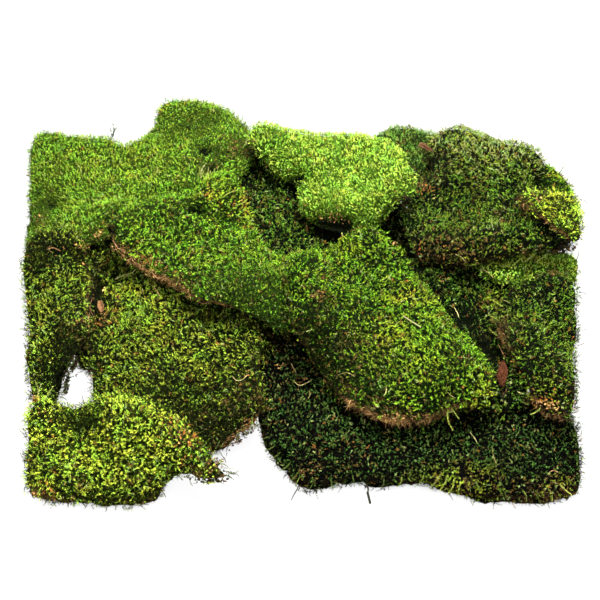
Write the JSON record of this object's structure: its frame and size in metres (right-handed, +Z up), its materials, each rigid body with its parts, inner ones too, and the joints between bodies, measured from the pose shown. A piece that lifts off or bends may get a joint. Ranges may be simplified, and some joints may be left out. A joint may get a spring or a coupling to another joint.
{
  "type": "moss clump",
  "caption": "A clump of torn woodland moss mats, heaped and lapped over one another on a flat base, with a little bark, leaf and twig in them.",
  "frame": {"origin": "on the ground under the middle of the clump's bounding box", "axes": "+Z up, +X to the right along the clump's width as seen from its front, +Y to the back"},
  "size_m": [0.531, 0.4724, 0.0701],
  "materials": {
    "moss_dark": "matte, short dense shoots, very dark green",
    "moss_olive": "matte, olive green with brown dead patches",
    "moss_green": "matte, fresh green with yellow tips",
    "moss_blue_green": "matte, cool dark green",
    "moss_bright": "matte, light yellow-green",
    "moss_yellow": "matte, yellow-green",
    "bark": "rough red-brown bark",
    "dead_leaf": "dry tan leaf",
    "straw": "smooth pale straw",
    "dark_twig": "dark damp wood"
  },
  "bodies": {
    "root": {"mat_front": "moss_dark", "mat_hollow": "moss_dark", "mat_saddle": "moss_dark", "mat_middle_left": "moss_olive", "mat_left": "moss_olive", "mat_right_back": "moss_olive", "mat_right": "moss_olive", "mat_left_centre": "moss_green", "mat_back_left": "moss_green", "mat_centre": "moss_green", "mat_front_left": "moss_green", "mat_back_lobe": "moss_blue_green", "mat_bright": "moss_bright", "mat_yellow": "moss_yellow", "mat_corner": "moss_yellow", "mat_ridge": "moss_yellow", "bark_curl": "bark", "bark_chip": "bark", "leaf_scrap": "dead_leaf", "pale_needle": "straw", "twig": "dark_twig"}
  },
  "joints": []
}
